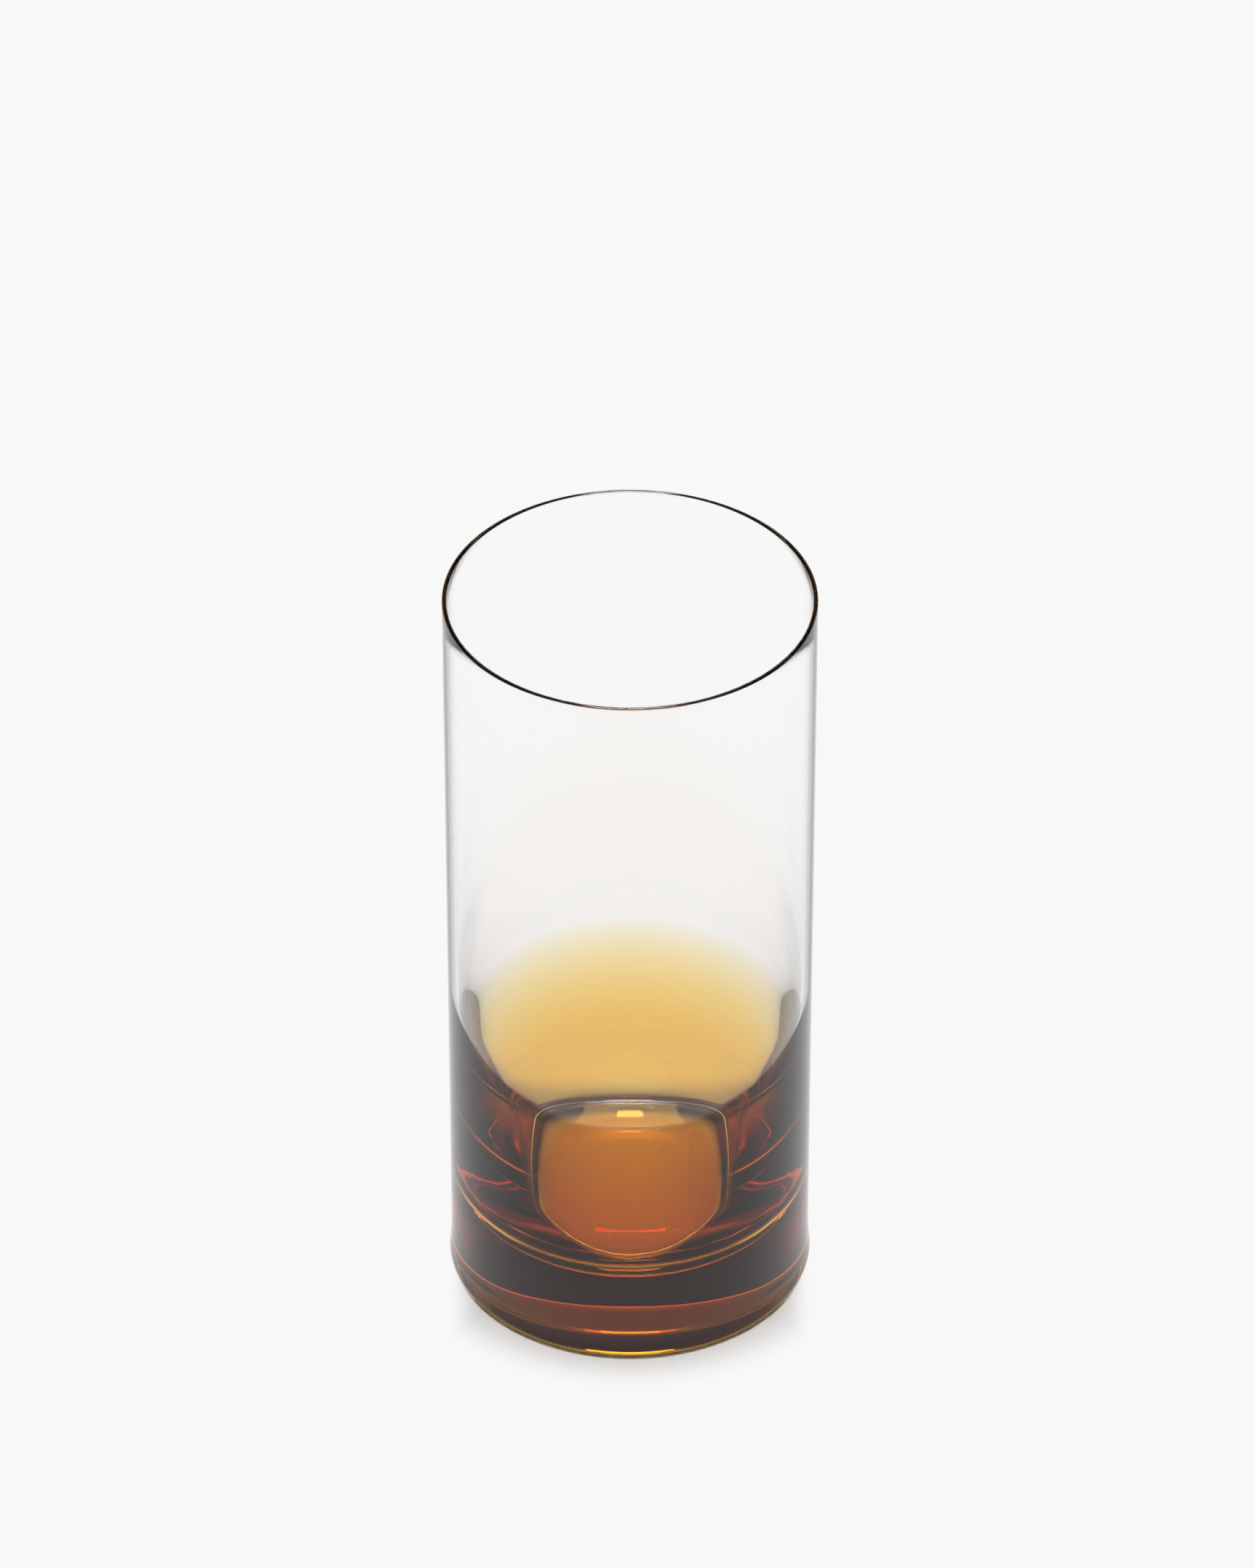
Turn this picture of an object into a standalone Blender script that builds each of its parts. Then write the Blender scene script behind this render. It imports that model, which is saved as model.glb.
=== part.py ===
"""Highball glass in two kinds of glass: a clear blown body with a heavy foot, and an amber overlay fused round its foot.

Metres, +Z up. The origin is the centre of the foot's underside, on the surface that the glass stands on.
"""

import math

import bpy

# Outside of the glass: rim and foot have one radius, and the waist above the foot is drawn in
HEIGHT = 0.160
RIM_RADIUS = 0.0361
WAIST_DRAW = 0.0004
WAIST_HEIGHT = 0.009
FOOT_EDGE = 0.0012

# Inside of the glass from the rim down: a thin wall, a knee, a cone, a heel and the corner of the floor
RIM_WALL = 0.0011
WALL_TILT = math.radians(0.55)
KNEE_TOP = 0.068
KNEE_FOOT = 0.054
CONE_TILT = math.radians(10.0)
HEEL_TOP = 0.031
HEEL_TILT = math.radians(19.0)
CORNER_RADIUS = 0.0035
BASE_THICKNESS = 0.0145
FLOOR_DOME = 0.0003

# Amber overlay: thin under the foot, full round the lower wall and feathered out above
AMBER_TOP = 0.056
AMBER_FULL = 0.032
AMBER_SWELL = 0.018
AMBER_WALL = 0.0020
AMBER_FOOT = 0.0013
AMBER_CORNER = 0.0020
FEATHER_EDGE = 0.0003

# Clearance left between the two glasses, which are fused on the real object
SEAM = 0.0003

# Fineness of the turned surfaces
FACETS = 64
ARC_STEPS = 6
FLARE_RINGS = 4
FEATHER_RINGS = 5
MERGE_DISTANCE = 0.00001

# Glass
GLASS_IOR = 1.5
GLASS_ROUGHNESS = 0.02
CLEAR_COLOUR = (0.95, 0.96, 0.96)
AMBER_COLOUR = (0.80, 0.36, 0.05)


def outer_radius(z):
    """Outside radius at a height: a straight taper from rim to waist, and a flare below the waist."""
    waist = RIM_RADIUS - WAIST_DRAW
    if z < WAIST_HEIGHT:
        return waist + WAIST_DRAW * ((WAIST_HEIGHT - z) / (WAIST_HEIGHT - FOOT_EDGE)) ** 2
    return waist + WAIST_DRAW * (z - WAIST_HEIGHT) / (HEIGHT - WAIST_HEIGHT)


def lip_height():
    """Height at which the rim starts to round over."""
    return HEIGHT - RIM_WALL / 2


def heel_foot():
    """Height at which the heel meets the corner of the floor."""
    return BASE_THICKNESS + CORNER_RADIUS * (1 - math.sin(HEEL_TILT))


def bend(z, top, foot, tilt_above, tilt_below):
    """How far an arc that turns between two tilts has stepped inwards at a height between its ends."""
    radius = (top - foot) / (math.sin(tilt_below) - math.sin(tilt_above))
    tilt = math.asin(math.sin(tilt_above) + (top - z) / radius)
    return radius * (math.cos(tilt_above) - math.cos(tilt))


def inner_radius(z):
    """Radius of the cavity at a height above its corner."""
    step = RIM_WALL + (lip_height() - max(z, KNEE_TOP)) * math.tan(WALL_TILT)
    if z < KNEE_TOP:
        step += bend(max(z, KNEE_FOOT), KNEE_TOP, KNEE_FOOT, WALL_TILT, CONE_TILT)
    if z < KNEE_FOOT:
        step += (KNEE_FOOT - max(z, HEEL_TOP)) * math.tan(CONE_TILT)
    if z < HEEL_TOP:
        step += bend(z, HEEL_TOP, heel_foot(), CONE_TILT, HEEL_TILT)
    return outer_radius(lip_height()) - step


def amber_wall(z):
    """Thickness of the amber overlay at a height."""
    fade = min(1.0, (AMBER_TOP - z) / (AMBER_TOP - AMBER_FULL))
    full = AMBER_FOOT + (AMBER_WALL - AMBER_FOOT) * min(1.0, z / AMBER_SWELL)
    return FEATHER_EDGE + (full - FEATHER_EDGE) * fade


def spread(start, end, count):
    """Evenly spaced values, both ends included."""
    return [start + (end - start) * i / (count - 1) for i in range(count)]


def arc(centre, radius, start, end):
    """Points of an arc in the profile plane, angles in radians from +X, both ends included."""
    return [
        (centre[0] + radius * math.cos(a), centre[1] + radius * math.sin(a))
        for a in spread(start, end, ARC_STEPS + 1)
    ]


def cavity_profile():
    """Inside of the glass, from the middle of its floor up to the rim."""
    heel = heel_foot()
    corner = (
        inner_radius(heel) - CORNER_RADIUS * math.cos(HEEL_TILT),
        BASE_THICKNESS + CORNER_RADIUS,
    )
    points = [(0.0, BASE_THICKNESS + FLOOR_DOME)]
    points += arc(corner, CORNER_RADIUS, -math.pi / 2, -HEEL_TILT)
    walls = spread(heel, HEEL_TOP, ARC_STEPS + 1)[1:] + spread(KNEE_FOOT, KNEE_TOP, ARC_STEPS + 1) + [lip_height()]
    return points + [(inner_radius(z), z) for z in walls]


def rim_profile():
    """Rounded lip, from its inner to its outer side."""
    lip = lip_height()
    return arc((outer_radius(lip) - RIM_WALL / 2, lip), RIM_WALL / 2, math.pi, 0.0)[1:]


def foot_profile():
    """Outside from the waist down over the flare and the rounded edge to the middle of the underside."""
    points = [(outer_radius(z), z) for z in spread(WAIST_HEIGHT, FOOT_EDGE, FLARE_RINGS + 1)[:-1]]
    points += arc((RIM_RADIUS - FOOT_EDGE, FOOT_EDGE), FOOT_EDGE, 0.0, -math.pi / 2)
    return points + [(0.0, 0.0)]


def overlay_seat(clearance):
    """Inner face of the overlay from its feathered top to the middle of its floor, moved inwards by a clearance."""
    corner = AMBER_FOOT + AMBER_CORNER
    points = [
        (outer_radius(z) - amber_wall(z) - clearance, z)
        for z in spread(AMBER_TOP, AMBER_FULL, FEATHER_RINGS) + spread(AMBER_SWELL, corner, FEATHER_RINGS)[:-1]
    ]
    side = outer_radius(corner) - amber_wall(corner)
    points += arc((side - AMBER_CORNER, corner), AMBER_CORNER - clearance, 0.0, -math.pi / 2)
    return points + [(0.0, AMBER_FOOT + clearance)]


def clear_body_profile():
    shoulder = AMBER_TOP + SEAM
    seat = overlay_seat(SEAM)
    shoulder_points = [(outer_radius(shoulder), shoulder), (seat[0][0], shoulder)]
    return cavity_profile() + rim_profile() + shoulder_points + seat[1:]


def amber_overlay_profile():
    sides = [(outer_radius(z), z) for z in spread(AMBER_TOP, WAIST_HEIGHT, FEATHER_RINGS)[:-1]]
    return overlay_seat(0.0)[::-1] + sides + foot_profile()


def glass_material(name, colour):
    material = bpy.data.materials.new(name)
    material.use_nodes = True
    shader = material.node_tree.nodes["Principled BSDF"]
    shader.inputs["Base Color"].default_value = (*colour, 1.0)
    shader.inputs["Metallic"].default_value = 0.0
    shader.inputs["Roughness"].default_value = GLASS_ROUGHNESS
    shader.inputs["IOR"].default_value = GLASS_IOR
    shader.inputs["Transmission Weight"].default_value = 1.0
    return material


def turned(name, profile, material):
    """A profile turned once round the glass's axis."""
    mesh = bpy.data.meshes.new(name)
    edges = [(i, i + 1) for i in range(len(profile) - 1)]
    mesh.from_pydata([(r, 0.0, z) for r, z in profile], edges, [])
    mesh.materials.append(material)
    piece = bpy.data.objects.new(name, mesh)
    bpy.context.scene.collection.objects.link(piece)
    screw = piece.modifiers.new("turn", "SCREW")
    screw.axis = "Z"
    screw.angle = 2 * math.pi
    screw.steps = FACETS
    screw.render_steps = FACETS
    screw.use_merge_vertices = True
    screw.merge_threshold = MERGE_DISTANCE
    screw.use_smooth_shade = True
    return piece


def main():
    for old in list(bpy.data.objects):
        bpy.data.objects.remove(old)
    turned("clear_body", clear_body_profile(), glass_material("clear_glass", CLEAR_COLOUR))
    turned("amber_overlay", amber_overlay_profile(), glass_material("amber_glass", AMBER_COLOUR))


main()
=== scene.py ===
"""Looks, light and camera for the highball glass: clear glass, with amber glass cased round its lower end."""

import math

import bmesh
import bpy
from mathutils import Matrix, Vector, noise


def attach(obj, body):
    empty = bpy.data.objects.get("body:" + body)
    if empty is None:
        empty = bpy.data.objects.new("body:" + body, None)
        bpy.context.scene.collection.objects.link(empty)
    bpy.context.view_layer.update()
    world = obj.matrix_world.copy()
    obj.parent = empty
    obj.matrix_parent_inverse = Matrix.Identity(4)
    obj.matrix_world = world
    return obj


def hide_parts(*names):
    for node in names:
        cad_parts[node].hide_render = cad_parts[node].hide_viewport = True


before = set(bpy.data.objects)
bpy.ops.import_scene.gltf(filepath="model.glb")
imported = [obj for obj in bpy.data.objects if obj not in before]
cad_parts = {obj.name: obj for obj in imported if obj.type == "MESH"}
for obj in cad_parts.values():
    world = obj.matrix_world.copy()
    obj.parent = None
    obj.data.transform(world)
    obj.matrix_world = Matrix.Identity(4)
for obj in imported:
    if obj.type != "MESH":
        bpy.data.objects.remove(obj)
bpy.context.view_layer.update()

# Outside of the glass, in metres, as in the CAD model
HEIGHT = 0.160
RIM_RADIUS = 0.0361
WAIST_DRAW = 0.0004
WAIST_HEIGHT = 0.009
FLARE_POWER = 2.0
FOOT_EDGE = 0.0012
PUNT = 0.0001

# Inside of the glass from the rim down: a thin wall, a knee, a cone, a heel and the corner of the floor
RIM_WALL = 0.00095
WALL_TILT = math.radians(0.644)
KNEE_TOP = 0.068
KNEE_FOOT = 0.054
CONE_TILT = math.radians(10.0)
HEEL_TOP = 0.031
HEEL_TILT = math.radians(19.0)
CORNER_RADIUS = 0.0035
BASE_THICKNESS = 0.0145
FLOOR_DOME = 0.0003

# Heights at which the rim starts to round over and at which the heel meets the corner of the floor
LIP_HEIGHT = HEIGHT - RIM_WALL / 2
HEEL_FOOT = BASE_THICKNESS + CORNER_RADIUS * (1 - math.sin(HEEL_TILT))

# Amber overlay: thin under the foot, full round the lower wall and feathered out above
AMBER_TOP = 0.056
AMBER_FULL = 0.032
AMBER_SWELL = 0.018
AMBER_WALL = 0.0020
AMBER_FOOT = 0.0005
AMBER_CORNER = 0.0012
FEATHER_EDGE = 0.00002
FEATHER_POWER = 1.1

# The amber glass lies this far under the polished clear surface
AMBER_DEPTH = 0.0008

# Small uneven ripples on the inside of the heel: depth, width, length up the wall and how far they reach
RIPPLE = 0.000012
RIPPLE_WIDTH = 0.0022
RIPPLE_HEIGHT = 0.012
RIPPLE_SPAN = 0.014

# Fineness of the turned surfaces
FACETS = 320
WALL_RINGS = 90
WALL_CROWDING = 1.25
PLAIN_RIM_RINGS = 8
SIDE_RINGS = 40
FLARE_RINGS = 16
FLOOR_RINGS = 10
AMBER_RINGS = 30
ARC_STEPS = 16
EDGE_STEPS = 10
ON_AXIS = 1e-9

# Clear glass, with a faint grey tone and a faint unevenness of its polish
GLASS_IOR = 1.5
CLEAR_COLOUR = (0.5, 0.5, 0.5)
CLEAR_DENSITY = 12.0
SMEAR_SCALE = 60.0
SMEAR_DETAIL = 4.0
SMEAR_SPAN = (0.35, 0.75)
SMEAR_ROUGHNESS = 0.012

# Amber glass: its full colour, and its share of that at the foot and in the middle of the floor
AMBER_COLOUR = (0.94, 0.55, 0.09)
AMBER_FOOT_SHARE = 0.5
AMBER_FLOOR_SHARE = 1.0
AMBER_UNDER = 0.0035
AMBER_PAD = (0.0195, 0.0250)

# Camera, fitted to the rim and the foot in the photograph
CAMERA_PLACE = (0.0, -1.6237, 1.3338)
CAMERA_PITCH = math.radians(36.886)
CAMERA_YAW = math.radians(0.01684)
CAMERA_NEAR = 0.01
FOCAL_PIXELS = 14372.0
FRAME_PIXELS = 2156.0
SENSOR = 36.0

# Table: half its width, its gap under the glass, its tone and its grain
FLOOR_HALF = 4.0
FLOOR_GAP = 0.0001
FLOOR_PALE = 0.939
FLOOR_GRAIN = 0.006
GRAIN_SCALE = 9.0
GRAIN_DETAIL = 3.0

# Shadow on the table: where it goes over to the even backdrop, behind and beside the glass
SHADOW_REACH = (0.0375, 0.0490)
SHADOW_SHIFT = 0.003
SIDE_REACH = (0.029, 0.0365)

# Painted shade on the table: close round the foot, and a dark ring under its thick part
CONTACT_REACH = (0.034, 0.043)
CONTACT_SHADE = 0.40
CONTACT_NARROW = 1.42
CONTACT_SHIFT = 0.006
FOOT_SHADE = 0.05
FOOT_SHADE_INNER = (0.0225, 0.0275)
FOOT_SHADE_OUTER = (0.0352, 0.0355)

# Lamps: place, width and depth, and brightness
TOP_LAMP_PLACE = (0.0, -0.1, 1.6)
TOP_LAMP_SIZE = (0.6, 0.6)
TOP_LAMP_RADIANCE = 21.3
BACK_LAMP_PLACE = (0.0, 1.63, 0.90)
BACK_LAMP_SIZE = (0.51, 0.78)
BACK_LAMP_RADIANCE = 5.0
BACK_BULB_PLACE = (0.0, 1.60, 0.89)
BACK_BULB_SIZE = (0.12, 0.26)
BACK_BULB_RADIANCE = 20.0

# Room: its tone above the table, and the heights, as sines, over which backdrop and ceiling fade
ROOM_DARK = 0.02
HORIZON = (0.05, 0.10)
CEILING = (0.65, 0.74)
CEILING_PALE = 0.25

# Light runs far down inside the wall of the glass
MAX_BOUNCES = 160
TRANSMISSION_BOUNCES = 64
GLOSSY_BOUNCES = 128
TRANSPARENT_BOUNCES = 16


def outer_radius(z):
    """Outside radius at a height: a straight taper from rim to waist, and a flare below the waist."""
    waist = RIM_RADIUS - WAIST_DRAW
    if z < WAIST_HEIGHT:
        drop = (WAIST_HEIGHT - z) / (WAIST_HEIGHT - FOOT_EDGE)
        return waist + WAIST_DRAW * drop**FLARE_POWER
    return waist + WAIST_DRAW * (z - WAIST_HEIGHT) / (HEIGHT - WAIST_HEIGHT)


def bend(z, top, foot, tilt_above, tilt_below):
    """How far an arc that turns between two tilts has stepped inwards at a height between its ends."""
    radius = (top - foot) / (math.sin(tilt_below) - math.sin(tilt_above))
    tilt = math.asin(math.sin(tilt_above) + (top - z) / radius)
    return radius * (math.cos(tilt_above) - math.cos(tilt))


def inner_radius(z):
    """Radius of the cavity at a height above its corner."""
    step = RIM_WALL + (LIP_HEIGHT - max(z, KNEE_TOP)) * math.tan(WALL_TILT)
    if z < KNEE_TOP:
        step += bend(max(z, KNEE_FOOT), KNEE_TOP, KNEE_FOOT, WALL_TILT, CONE_TILT)
    if z < KNEE_FOOT:
        step += (KNEE_FOOT - max(z, HEEL_TOP)) * math.tan(CONE_TILT)
    if z < HEEL_TOP:
        step += bend(z, HEEL_TOP, HEEL_FOOT, CONE_TILT, HEEL_TILT)
    return outer_radius(LIP_HEIGHT) - step


def amber_wall(z):
    """Thickness of the amber overlay at a height."""
    fade = min(1.0, max(0.0, (AMBER_TOP - z) / (AMBER_TOP - AMBER_FULL))) ** FEATHER_POWER
    full = AMBER_FOOT + (AMBER_WALL - AMBER_FOOT) * min(1.0, z / AMBER_SWELL)
    return FEATHER_EDGE + (full - FEATHER_EDGE) * fade


def spread(start, end, count, power=1.0):
    """Values from start to end, both included, closer together at the start when the power is above 1."""
    return [start + (end - start) * (i / (count - 1)) ** power for i in range(count)]


def arc(centre, radius, start, end, steps=ARC_STEPS):
    """Points of an arc in the profile plane, angles in radians from +X, both ends included."""
    return [
        (centre[0] + radius * math.cos(a), centre[1] + radius * math.sin(a))
        for a in spread(start, end, steps + 1)
    ]


def cavity_profile():
    """Inside of the glass, from the middle of its floor up to the rim."""
    centre_radius = inner_radius(HEEL_FOOT) - CORNER_RADIUS * math.cos(HEEL_TILT)
    edge_tilt = -2 * FLOOR_DOME / centre_radius
    centre = (centre_radius, BASE_THICKNESS + CORNER_RADIUS)
    corner = arc(centre, CORNER_RADIUS, -math.pi / 2 + edge_tilt, -HEEL_TILT)
    edge_radius, edge_height = corner[0]
    floor = [
        (r, edge_height + FLOOR_DOME * (1 - (r / edge_radius) ** 2))
        for r in spread(0.0, edge_radius, FLOOR_RINGS)[:-1]
    ]
    heights = spread(HEEL_FOOT, LIP_HEIGHT, WALL_RINGS, WALL_CROWDING)[1:]
    return floor + corner + [(inner_radius(z), z) for z in heights]


def rim_profile():
    """Rounded lip, from its inner to its outer side."""
    centre = (outer_radius(LIP_HEIGHT) - RIM_WALL / 2, LIP_HEIGHT)
    return arc(centre, RIM_WALL / 2, math.pi, 0.0)[1:]


def foot_profile(depth):
    """Outside from the waist down to the middle of the underside, moved inwards by a depth."""
    edge = RIM_RADIUS - FOOT_EDGE
    points = [(outer_radius(z) - depth, z) for z in spread(WAIST_HEIGHT, FOOT_EDGE, FLARE_RINGS)[:-1]]
    points += arc((edge, FOOT_EDGE), FOOT_EDGE - depth, 0.0, -math.pi / 2, EDGE_STEPS)
    return points + [(r, PUNT * (1 - (r / edge) ** 2) + depth) for r in spread(edge, 0.0, FLOOR_RINGS)[1:]]


def glass_profile():
    """The clear glass: inside, lip, outside and underside."""
    sides = [(outer_radius(z), z) for z in spread(LIP_HEIGHT, WAIST_HEIGHT, SIDE_RINGS)[1:-1]]
    return cavity_profile() + rim_profile() + sides + foot_profile(0.0)


def amber_profile():
    """The amber overlay: its inner face from the floor up to the feathered top, and its outer face."""
    low = PUNT + AMBER_DEPTH
    corner = low + AMBER_FOOT + AMBER_CORNER
    side = outer_radius(corner) - AMBER_DEPTH - amber_wall(corner)
    seat = [(r, low + AMBER_FOOT) for r in spread(0.0, side - AMBER_CORNER, AMBER_RINGS)[:-1]]
    seat += arc((side - AMBER_CORNER, corner), AMBER_CORNER, -math.pi / 2, 0.0)
    heights = spread(corner, AMBER_TOP, SIDE_RINGS)[1:]
    seat += [(outer_radius(z) - AMBER_DEPTH - amber_wall(z), z) for z in heights]
    sides = [(outer_radius(z) - AMBER_DEPTH, z) for z in spread(AMBER_TOP, WAIST_HEIGHT, SIDE_RINGS)[:-1]]
    return seat + sides + foot_profile(AMBER_DEPTH)


def ripple(angle, r, z):
    """Depth of the ripples that run up the inside of the heel."""
    around = Vector((math.cos(angle), math.sin(angle), 0.0)) * r / RIPPLE_WIDTH
    around.z = z / RIPPLE_HEIGHT
    near = math.exp(-(((z - HEEL_FOOT) / RIPPLE_SPAN) ** 2))
    return RIPPLE * near * noise.noise(around)


def turned(name, profile, rings_with_ripple=0):
    """A closed body turned from a profile that starts and ends on the axis. Its first rings are rippled."""
    verts = []
    rings = []
    for index, (r, z) in enumerate(profile):
        if r < ON_AXIS:
            rings.append([len(verts)])
            verts.append((0.0, 0.0, z))
            continue
        rings.append(list(range(len(verts), len(verts) + FACETS)))
        for k in range(FACETS):
            angle = 2 * math.pi * k / FACETS
            reach = r + (ripple(angle, r, z) if 0 < index < rings_with_ripple else 0.0)
            verts.append((reach * math.cos(angle), reach * math.sin(angle), z))
    faces = []
    for low, high in zip(rings, rings[1:]):
        for k in range(FACETS):
            j = (k + 1) % FACETS
            if len(low) == 1:
                faces.append((low[0], high[k], high[j]))
            elif len(high) == 1:
                faces.append((low[k], high[0], low[j]))
            else:
                faces.append((low[k], high[k], high[j], low[j]))
    mesh = bpy.data.meshes.new(name)
    mesh.from_pydata(verts, [], faces)
    form = bmesh.new()
    form.from_mesh(mesh)
    bmesh.ops.recalc_face_normals(form, faces=form.faces)
    if form.calc_volume(signed=True) < 0:
        bmesh.ops.reverse_faces(form, faces=form.faces)
    form.to_mesh(mesh)
    form.free()
    for face in mesh.polygons:
        face.use_smooth = True
    piece = bpy.data.objects.new(name, mesh)
    bpy.context.scene.collection.objects.link(piece)
    return piece


def math_node(tree, operation, first, second):
    """Output of a Math node, whose inputs are outputs of other nodes or numbers."""
    node = tree.nodes.new("ShaderNodeMath")
    node.operation = operation
    for socket, value in zip(node.inputs, (first, second)):
        if isinstance(value, float):
            socket.default_value = value
        else:
            tree.links.new(value, socket)
    return node.outputs["Value"]


def ramp(tree, value, span, low, high, kind="SMOOTHSTEP"):
    """Output that goes from low to high while the value crosses the span."""
    node = tree.nodes.new("ShaderNodeMapRange")
    node.interpolation_type = kind
    node.inputs["From Min"].default_value, node.inputs["From Max"].default_value = span
    node.inputs["To Min"].default_value = low
    node.inputs["To Max"].default_value = high
    tree.links.new(value, node.inputs["Value"])
    return node.outputs["Result"]


def noise_from(tree, place, scale, detail):
    """Output of a noise texture."""
    node = tree.nodes.new("ShaderNodeTexNoise")
    node.inputs["Scale"].default_value = scale
    node.inputs["Detail"].default_value = detail
    tree.links.new(place, node.inputs["Vector"])
    return node.outputs["Fac"]


def part_of(tree, place, axis):
    """One coordinate of a place."""
    split = tree.nodes.new("ShaderNodeSeparateXYZ")
    tree.links.new(place, split.inputs["Vector"])
    return split.outputs[axis]


def distance_from(tree, place, back, narrow):
    """Distance on the table from a point behind the glass's axis, with the sides stretched."""
    drawn = tree.nodes.new("ShaderNodeVectorMath")
    drawn.operation = "MULTIPLY_ADD"
    drawn.inputs[1].default_value = (narrow, 1.0, 0.0)
    drawn.inputs[2].default_value = (0.0, -back, 0.0)
    length = tree.nodes.new("ShaderNodeVectorMath")
    length.operation = "LENGTH"
    tree.links.new(place, drawn.inputs[0])
    tree.links.new(drawn.outputs["Vector"], length.inputs[0])
    return length.outputs["Value"]


def not_lighting(tree):
    """1 for rays that look at a surface and 0 for rays that light a matt one, so a glow lights nothing."""
    seen = tree.nodes.new("ShaderNodeLightPath")
    return math_node(tree, "LESS_THAN", seen.outputs["Diffuse Depth"], 0.5)


def looked_at(tree):
    """1 where a ray looks at a surface by itself, in a reflection or through glass, and 0 elsewhere."""
    seen = tree.nodes.new("ShaderNodeLightPath")
    looked = math_node(tree, "MAXIMUM", seen.outputs["Is Camera Ray"], seen.outputs["Is Glossy Ray"])
    looked = math_node(tree, "MAXIMUM", looked, seen.outputs["Is Transmission Ray"])
    return math_node(tree, "MULTIPLY", looked, not_lighting(tree))


def new_material(name):
    """A material with nodes, its node tree, and the place on the object in metres."""
    material = bpy.data.materials.new(name)
    material.use_nodes = True
    tree = material.node_tree
    return material, tree, tree.nodes.new("ShaderNodeTexCoord").outputs["Object"]


def clear_glass():
    """Polished glass, with a faint unevenness of the polish."""
    material, tree, place = new_material("clear_glass")
    shader = tree.nodes["Principled BSDF"]
    shader.inputs["Base Color"].default_value = (1.0, 1.0, 1.0, 1.0)
    shader.inputs["IOR"].default_value = GLASS_IOR
    shader.inputs["Transmission Weight"].default_value = 1.0
    smears = noise_from(tree, place, SMEAR_SCALE, SMEAR_DETAIL)
    roughness = ramp(tree, smears, SMEAR_SPAN, 0.0, SMEAR_ROUGHNESS, "LINEAR")
    tree.links.new(roughness, shader.inputs["Roughness"])
    depth = tree.nodes.new("ShaderNodeVolumeAbsorption")
    depth.inputs["Color"].default_value = (*CLEAR_COLOUR, 1.0)
    depth.inputs["Density"].default_value = CLEAR_DENSITY
    tree.links.new(depth.outputs["Volume"], tree.nodes["Material Output"].inputs["Volume"])
    return material


def amber_share(tree, place):
    """Share of the full amber colour at a place: by height round the wall, by radius under the floor."""
    height = part_of(tree, place, "Z")
    fade = ramp(tree, height, (AMBER_FULL, AMBER_TOP), 1.0, 0.0, "LINEAR")
    swell = ramp(tree, height, (0.0, AMBER_SWELL), AMBER_FOOT_SHARE, 1.0, "LINEAR")
    wall = math_node(tree, "MULTIPLY", fade, swell)
    reach = distance_from(tree, place, 0.0, 1.0)
    middle = ramp(tree, reach, AMBER_PAD, AMBER_FLOOR_SHARE, AMBER_FOOT_SHARE)
    under = math_node(tree, "LESS_THAN", height, AMBER_UNDER)
    above = math_node(tree, "SUBTRACT", 1.0, under)
    under = math_node(tree, "MULTIPLY", under, middle)
    above = math_node(tree, "MULTIPLY", above, wall)
    return math_node(tree, "ADD", under, above)


def amber_glass():
    """Amber glass under the clear surface: it only colours light on its way, and less towards its top."""
    material, tree, place = new_material("amber_glass")
    shader = tree.nodes["Principled BSDF"]
    shader.inputs["IOR"].default_value = 1.0
    shader.inputs["Roughness"].default_value = 0.0
    shader.inputs["Transmission Weight"].default_value = 1.0
    share = amber_share(tree, place)
    colour = tree.nodes.new("ShaderNodeCombineColor")
    for socket, part in zip(colour.inputs, AMBER_COLOUR):
        tree.links.new(math_node(tree, "POWER", part, share), socket)
    tree.links.new(colour.outputs["Color"], shader.inputs["Base Color"])
    return material


def pale_floor():
    """Pale matt table with the foot's shadow, part cast and part painted, going over to an even backdrop
    further away.
    """
    material, tree, place = new_material("pale_floor")
    tree.nodes.remove(tree.nodes["Principled BSDF"])
    grain = noise_from(tree, place, GRAIN_SCALE, GRAIN_DETAIL)
    tone = ramp(tree, grain, (0.0, 1.0), FLOOR_PALE - FLOOR_GRAIN, FLOOR_PALE + FLOOR_GRAIN)

    # Matt table, with painted shade: dark in a ring under the thick part of the foot and shaded close round
    # it
    reach = distance_from(tree, place, 0.0, 1.0)
    around = distance_from(tree, place, CONTACT_SHIFT, CONTACT_NARROW)
    painted_ring_shade = ramp(tree, reach, FOOT_SHADE_INNER, 1.0, FOOT_SHADE)
    outside = ramp(tree, reach, FOOT_SHADE_OUTER, 0.0, 1.0)
    painted_contact_shade = ramp(tree, around, CONTACT_REACH, CONTACT_SHADE, 1.0)
    painted_shade = math_node(tree, "MAXIMUM", painted_ring_shade, math_node(tree, "MULTIPLY", outside, painted_contact_shade))
    matt = tree.nodes.new("ShaderNodeBsdfDiffuse")
    tree.links.new(math_node(tree, "MULTIPLY", tone, painted_shade), matt.inputs["Color"])

    # Even backdrop, behind the shadow and beside the glass
    backdrop = tree.nodes.new("ShaderNodeEmission")
    backdrop.inputs["Color"].default_value = (FLOOR_PALE, FLOOR_PALE, FLOOR_PALE, 1.0)
    sideways = math_node(tree, "ABSOLUTE", part_of(tree, place, "X"), 0.0)
    beside = ramp(tree, sideways, SIDE_REACH, 0.0, 1.0)
    ring = ramp(tree, distance_from(tree, place, SHADOW_SHIFT, 1.0), SHADOW_REACH, 0.0, 1.0)
    far = math_node(tree, "MULTIPLY", math_node(tree, "MAXIMUM", ring, beside), outside)

    blend = tree.nodes.new("ShaderNodeMixShader")
    tree.links.new(math_node(tree, "MULTIPLY", looked_at(tree), far), blend.inputs["Fac"])
    tree.links.new(matt.outputs["BSDF"], blend.inputs[1])
    tree.links.new(backdrop.outputs["Emission"], blend.inputs[2])
    tree.links.new(blend.outputs["Shader"], tree.nodes["Material Output"].inputs["Surface"])
    return material


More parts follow.
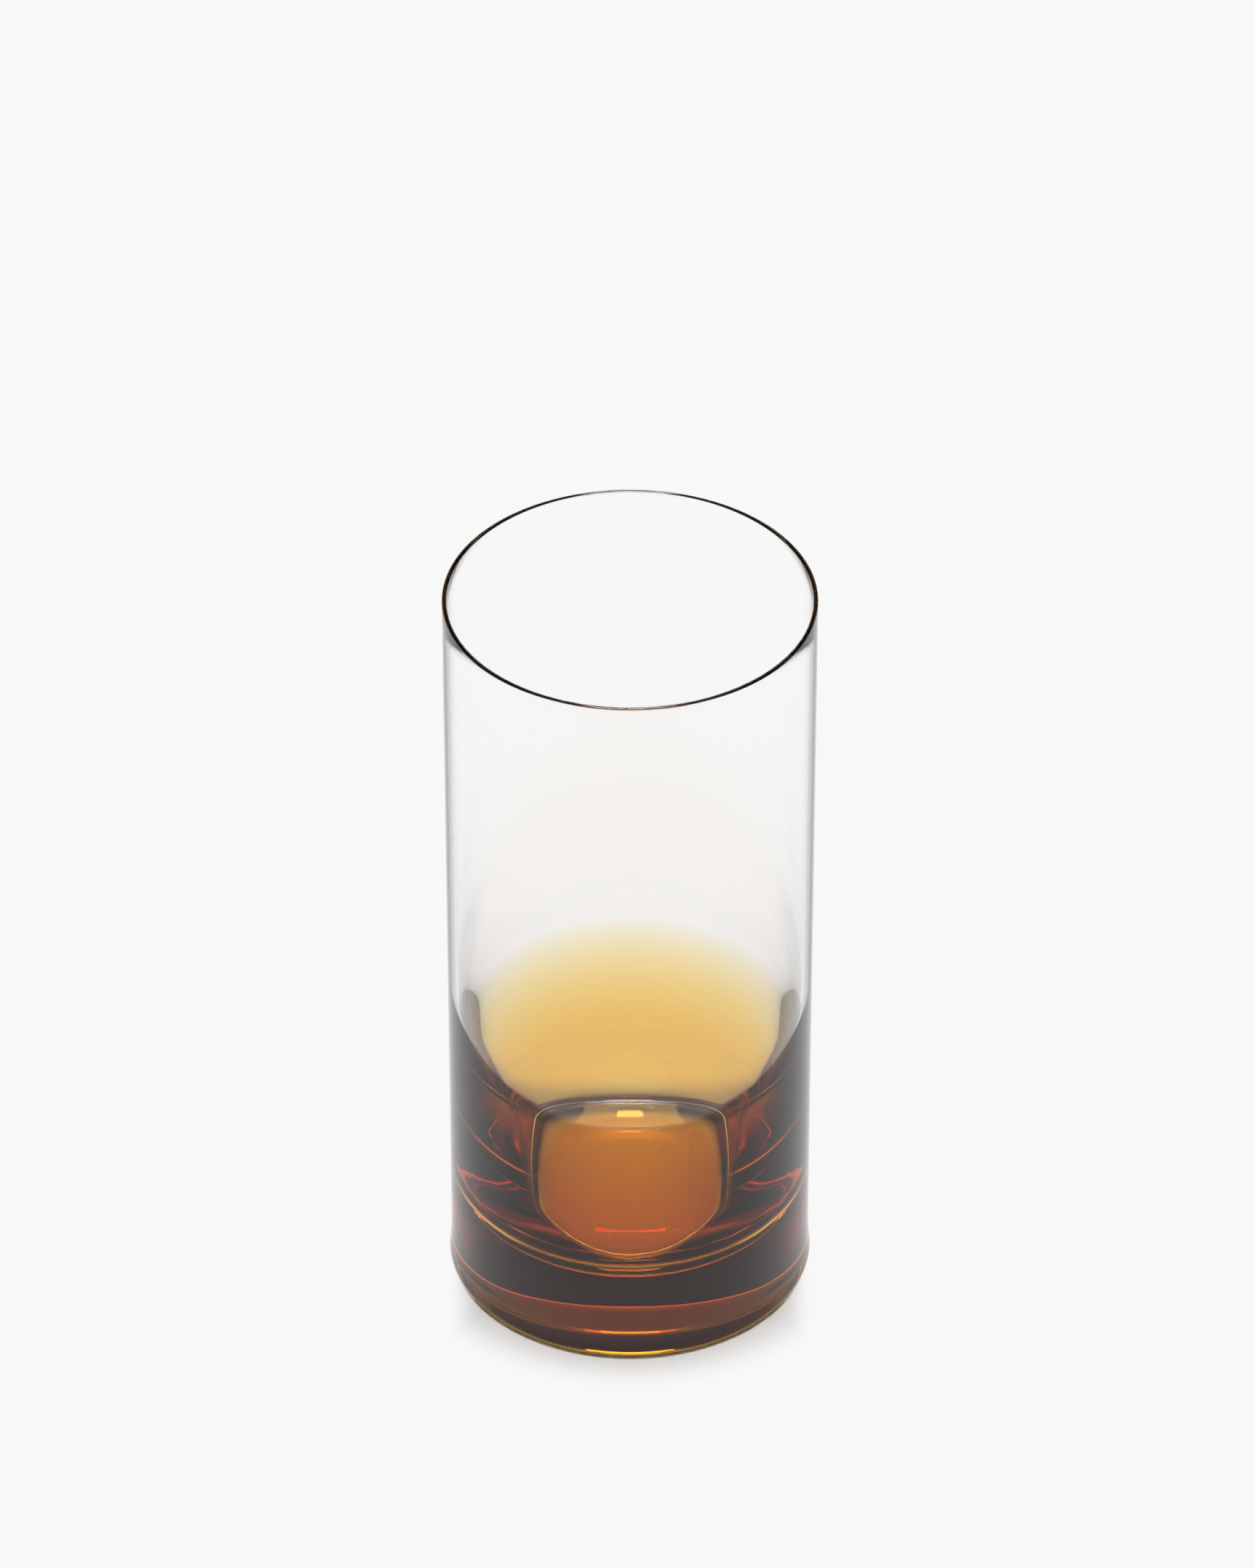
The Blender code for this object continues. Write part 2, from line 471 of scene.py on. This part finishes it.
def add_floor():
    """The table that the glass stands on."""
    corners = [(-1, -1), (1, -1), (1, 1), (-1, 1)]
    mesh = bpy.data.meshes.new("floor")
    mesh.from_pydata([(x * FLOOR_HALF, y * FLOOR_HALF, 0.0) for x, y in corners], [], [(0, 1, 2, 3)])
    mesh.materials.append(pale_floor())
    floor = bpy.data.objects.new("floor", mesh)
    floor.location.z = -FLOOR_GAP
    bpy.context.scene.collection.objects.link(floor)


def add_lamp(name, place, size, radiance):
    """A soft lamp that hangs level and shines down, with its brightness given as radiance."""
    light = bpy.data.lights.new(name, "AREA")
    light.shape = "RECTANGLE"
    light.size, light.size_y = size
    light.energy = radiance * math.pi * size[0] * size[1]
    lamp = bpy.data.objects.new(name, light)
    lamp.location = place
    bpy.context.scene.collection.objects.link(lamp)


def add_room():
    """A pale backdrop at the height of the table, a dark room above it and a faint ceiling."""
    world = bpy.data.worlds.new("room")
    world.use_nodes = True
    bpy.context.scene.world = world
    tree = world.node_tree
    place = tree.nodes.new("ShaderNodeTexCoord").outputs["Generated"]
    height = part_of(tree, place, "Z")
    low = ramp(tree, height, HORIZON, FLOOR_PALE, ROOM_DARK)
    high = ramp(tree, height, CEILING, 0.0, CEILING_PALE)
    background = tree.nodes["Background"]
    tree.links.new(math_node(tree, "ADD", low, high), background.inputs["Color"])
    tree.links.new(not_lighting(tree), background.inputs["Strength"])


def add_camera():
    """The camera of the photograph."""
    data = bpy.data.cameras.new("camera")
    data.sensor_fit = "VERTICAL"
    data.sensor_height = SENSOR
    data.lens = SENSOR * FOCAL_PIXELS / FRAME_PIXELS
    data.clip_start = CAMERA_NEAR
    camera = bpy.data.objects.new("camera", data)
    camera.location = CAMERA_PLACE
    camera.rotation_euler = (math.pi / 2 - CAMERA_PITCH, 0.0, CAMERA_YAW)
    bpy.context.scene.collection.objects.link(camera)
    bpy.context.scene.camera = camera


def add_glass():
    """Both glasses, in place of the CAD pieces that they dress."""
    rippled_rings = len(cavity_profile()) - PLAIN_RIM_RINGS
    glass = turned("glass", glass_profile(), rippled_rings)
    glass.data.materials.append(clear_glass())
    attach(glass, "root")
    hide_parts("clear_body")
    amber = turned("amber", amber_profile())
    amber.data.materials.append(amber_glass())
    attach(amber, "root")
    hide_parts("amber_overlay")


add_camera()
add_floor()
add_lamp("top_lamp", TOP_LAMP_PLACE, TOP_LAMP_SIZE, TOP_LAMP_RADIANCE)
add_lamp("back_lamp", BACK_LAMP_PLACE, BACK_LAMP_SIZE, BACK_LAMP_RADIANCE)
add_lamp("back_bulb", BACK_BULB_PLACE, BACK_BULB_SIZE, BACK_BULB_RADIANCE)
add_room()
add_glass()

scene = bpy.context.scene
scene.view_settings.view_transform = "Standard"
scene.cycles.max_bounces = MAX_BOUNCES
scene.cycles.transmission_bounces = TRANSMISSION_BOUNCES
scene.cycles.glossy_bounces = GLOSSY_BOUNCES
scene.cycles.transparent_max_bounces = TRANSPARENT_BOUNCES
